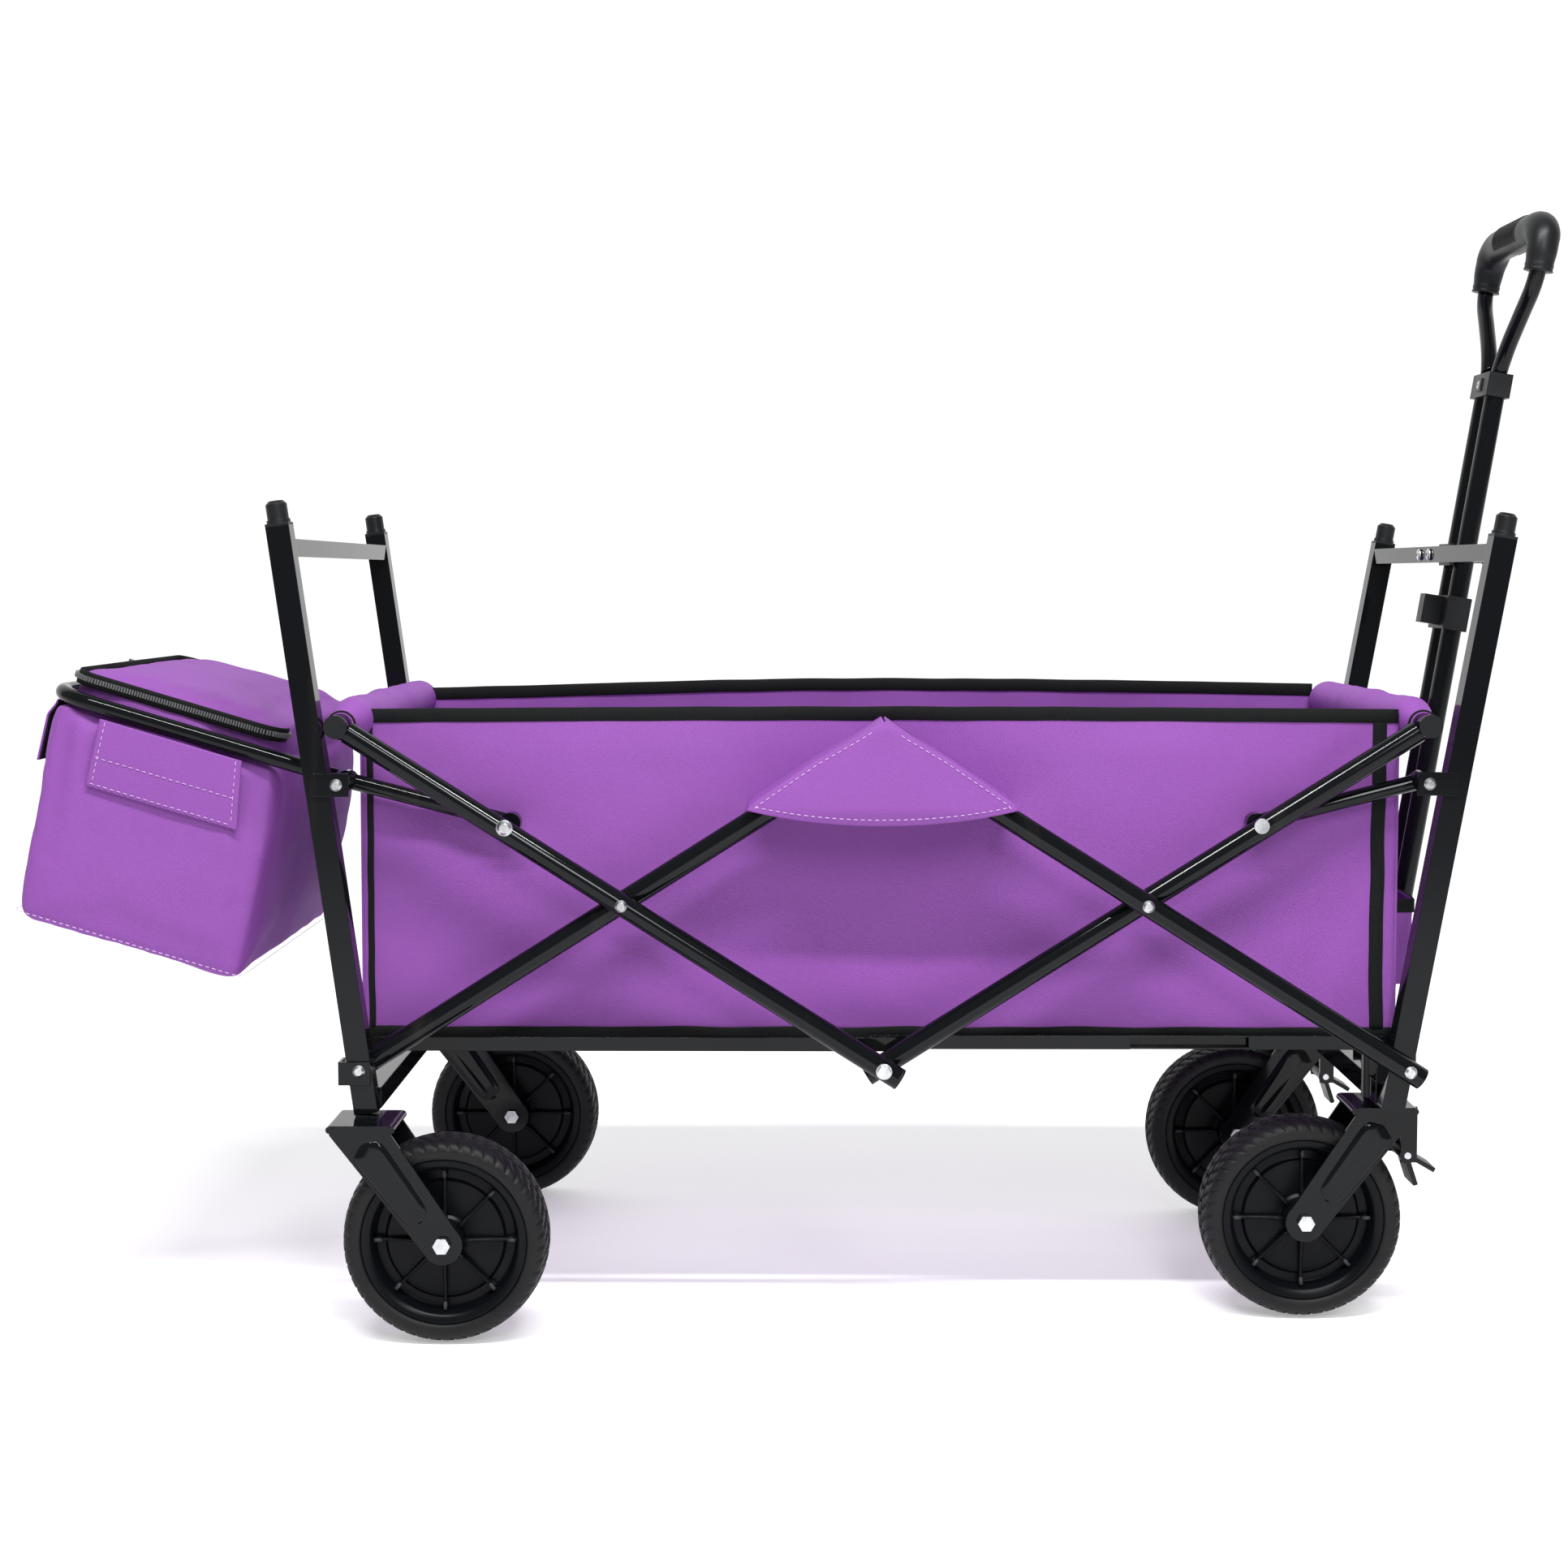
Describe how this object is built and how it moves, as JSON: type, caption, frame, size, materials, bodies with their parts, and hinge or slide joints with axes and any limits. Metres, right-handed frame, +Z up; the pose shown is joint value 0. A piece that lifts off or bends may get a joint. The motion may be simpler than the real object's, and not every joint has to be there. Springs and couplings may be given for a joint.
{
  "type": "wagon with pull handle",
  "caption": "Folding utility wagon with a scissor tube frame, open fabric tub, rear bag on a rack, swivel front casters and a telescopic pull handle.",
  "frame": {"origin": "middle of the bounding box, at the height of the floor the wheels stand on", "axes": "+X towards the pull handle, +Y to the wagon's left, +Z up"},
  "size_m": [1.3578, 0.58, 0.9763],
  "materials": {
    "frame_paint": "gloss",
    "bright_steel": "satin",
    "black_plastic": "matte",
    "rim_plastic": "satin",
    "tread": "matte",
    "purple_cloth": "matte"
  },
  "bodies": {
    "rear_frame": {"rear_posts": "frame_paint", "rear_top_bar": "frame_paint", "rear_low_bar": "frame_paint", "rear_brackets": "frame_paint", "rear_pins": "bright_steel", "rear_plugs": "black_plastic", "rear_forks": "frame_paint", "rear_axles": "bright_steel"},
    "rear_wheel_left": {"rear_tyre_left": "tread", "rear_rim_left": "rim_plastic"},
    "rear_wheel_right": {"rear_tyre_right": "tread", "rear_rim_right": "rim_plastic"},
    "scissor_b": {"arm_b": "frame_paint", "top_rivets": "bright_steel"},
    "scissor_a": {"arm_a": "frame_paint", "rear_top_tube": "frame_paint", "arm_plugs_a": "black_plastic", "cross_rivets_a": "bright_steel", "hub_bolts": "bright_steel", "rear_sleeve": "purple_cloth"},
    "scissor_d": {"arm_d": "frame_paint", "front_top_tube": "frame_paint", "arm_plugs_d": "black_plastic", "cross_rivets_d": "bright_steel", "front_sleeve": "purple_cloth"},
    "scissor_c": {"arm_c": "frame_paint"},
    "front_frame": {"front_posts": "frame_paint", "front_top_bar": "frame_paint", "front_low_bar": "frame_paint", "front_brackets": "frame_paint", "front_pins": "bright_steel", "front_plugs": "black_plastic", "handle_clip": "black_plastic"},
    "rack": {"rack_tube": "frame_paint", "rear_braces": "frame_paint", "rear_bag": "purple_cloth"},
    "front_brace": {"front_braces": "frame_paint"},
    "rails_rear": {"rear_rails": "frame_paint"},
    "rails_front": {"front_rails": "frame_paint"},
    "tub": {"tub_sides": "purple_cloth", "tub_ends": "purple_cloth", "tub_floor": "purple_cloth", "tub_flaps": "purple_cloth", "tub_pockets": "purple_cloth"},
    "caster_left": {"caster_fork_left": "frame_paint", "caster_axle_left": "bright_steel"},
    "front_wheel_left": {"front_tyre_left": "tread", "front_rim_left": "rim_plastic"},
    "pedal_left": {"brake_left": "black_plastic"},
    "caster_right": {"caster_fork_right": "frame_paint", "caster_axle_right": "bright_steel"},
    "front_wheel_right": {"front_tyre_right": "tread", "front_rim_right": "rim_plastic"},
    "pedal_right": {"brake_right": "black_plastic"},
    "handle_outer": {"handle_tubes": "frame_paint", "handle_foot": "black_plastic", "handle_collar": "black_plastic", "handle_latch": "black_plastic"},
    "handle_inner": {"grip_tubes": "frame_paint", "grip": "black_plastic"}
  },
  "joints": [
    {"name": "fold", "type": "hinge", "parent": "rear_frame", "child": "scissor_b", "pos_m": [-0.37802, 0, 0.227], "axis": [0, -1, 0], "range_deg": [0, 46.8], "deforming": ["tub_sides", "tub_ends", "tub_floor", "tub_flaps", "tub_pockets"]},
    {"name": "rear_cross", "type": "hinge", "parent": "scissor_b", "child": "scissor_a", "pos_m": [-0.15487, 0, 0.36807], "axis": [0, 1, 0], "range_deg": [0, 93.6]},
    {"name": "hub", "type": "hinge", "parent": "scissor_a", "child": "scissor_d", "pos_m": [0.06828, 0, 0.227], "axis": [0, -1, 0], "range_deg": [0, 93.6]},
    {"name": "front_cross", "type": "hinge", "parent": "scissor_d", "child": "scissor_c", "pos_m": [0.29143, 0, 0.36807], "axis": [0, 1, 0], "range_deg": [0, 93.6]},
    {"name": "front_pivot", "type": "hinge", "parent": "scissor_c", "child": "front_frame", "pos_m": [0.51458, 0, 0.227], "axis": [0, -1, 0], "range_deg": [0, 46.8]},
    {"name": "rack_fold", "type": "hinge", "parent": "rear_frame", "child": "rack", "pos_m": [-0.39472, 0, 0.471], "axis": [0, -1, 0], "range_deg": [0, 86.4], "deforming": ["rear_bag"]},
    {"name": "front_brace_fold", "type": "hinge", "parent": "front_frame", "child": "front_brace", "pos_m": [0.53128, 0, 0.471], "axis": [0, 1, 0], "range_deg": [0, 86.4]},
    {"name": "rear_rail_fold", "type": "hinge", "parent": "rear_frame", "child": "rails_rear", "pos_m": [-0.37802, 0, 0.227], "axis": [0, -1, 0], "range_deg": [0, 77.1]},
    {"name": "front_rail_fold", "type": "hinge", "parent": "front_frame", "child": "rails_front", "pos_m": [0.51458, 0, 0.227], "axis": [0, 1, 0], "range_deg": [0, 77.1]},
    {"name": "tub_lift", "type": "slide", "parent": "rear_frame", "child": "tub", "axis": [0, 0, 1], "range_m": [0, 0.2451]},
    {"name": "rear_spin_left", "type": "hinge", "parent": "rear_frame", "child": "rear_wheel_left", "pos_m": [-0.30372, 0.252, 0.086], "axis": [0, 1, 0], "continuous": true},
    {"name": "rear_spin_right", "type": "hinge", "parent": "rear_frame", "child": "rear_wheel_right", "pos_m": [-0.30372, -0.252, 0.086], "axis": [0, 1, 0], "continuous": true},
    {"name": "caster_swivel_left", "type": "hinge", "parent": "front_frame", "child": "caster_left", "pos_m": [0.50428, 0.172, 0.2], "axis": [0, 0, 1], "continuous": true},
    {"name": "front_spin_left", "type": "hinge", "parent": "caster_left", "child": "front_wheel_left", "pos_m": [0.43628, 0.172, 0.086], "axis": [0, 1, 0], "continuous": true},
    {"name": "brake_left", "type": "hinge", "parent": "caster_left", "child": "pedal_left", "pos_m": [0.52628, 0.172, 0.143], "axis": [0, 1, 0], "range_deg": [0, 25]},
    {"name": "caster_swivel_right", "type": "hinge", "parent": "front_frame", "child": "caster_right", "pos_m": [0.50428, -0.172, 0.2], "axis": [0, 0, 1], "continuous": true},
    {"name": "front_spin_right", "type": "hinge", "parent": "caster_right", "child": "front_wheel_right", "pos_m": [0.43628, -0.172, 0.086], "axis": [0, 1, 0], "continuous": true},
    {"name": "brake_right", "type": "hinge", "parent": "caster_right", "child": "pedal_right", "pos_m": [0.52628, -0.172, 0.143], "axis": [0, 1, 0], "range_deg": [0, 25]},
    {"name": "handle_swing", "type": "hinge", "parent": "front_frame", "child": "handle_outer", "pos_m": [0.54028, 0, 0.225], "axis": [0, 1, 0], "range_deg": [0, 75]},
    {"name": "handle_extend", "type": "slide", "parent": "handle_outer", "child": "handle_inner", "axis": [0.165, 0, 0.9863], "range_m": [0, 0.2]}
  ],
  "couplings": [
    {"joint": "rear_cross", "follows": "fold", "ratio": 2},
    {"joint": "hub", "follows": "fold", "ratio": 2},
    {"joint": "front_cross", "follows": "fold", "ratio": 2},
    {"joint": "front_pivot", "follows": "fold", "ratio": 1},
    {"joint": "rack_fold", "follows": "fold", "ratio": 1.846},
    {"joint": "front_brace_fold", "follows": "fold", "ratio": 1.846},
    {"joint": "rear_rail_fold", "follows": "fold", "ratio": 1.647},
    {"joint": "front_rail_fold", "follows": "fold", "ratio": 1.647},
    {"joint": "tub_lift", "follows": "fold", "m_per_rad": 0.3}
  ]
}
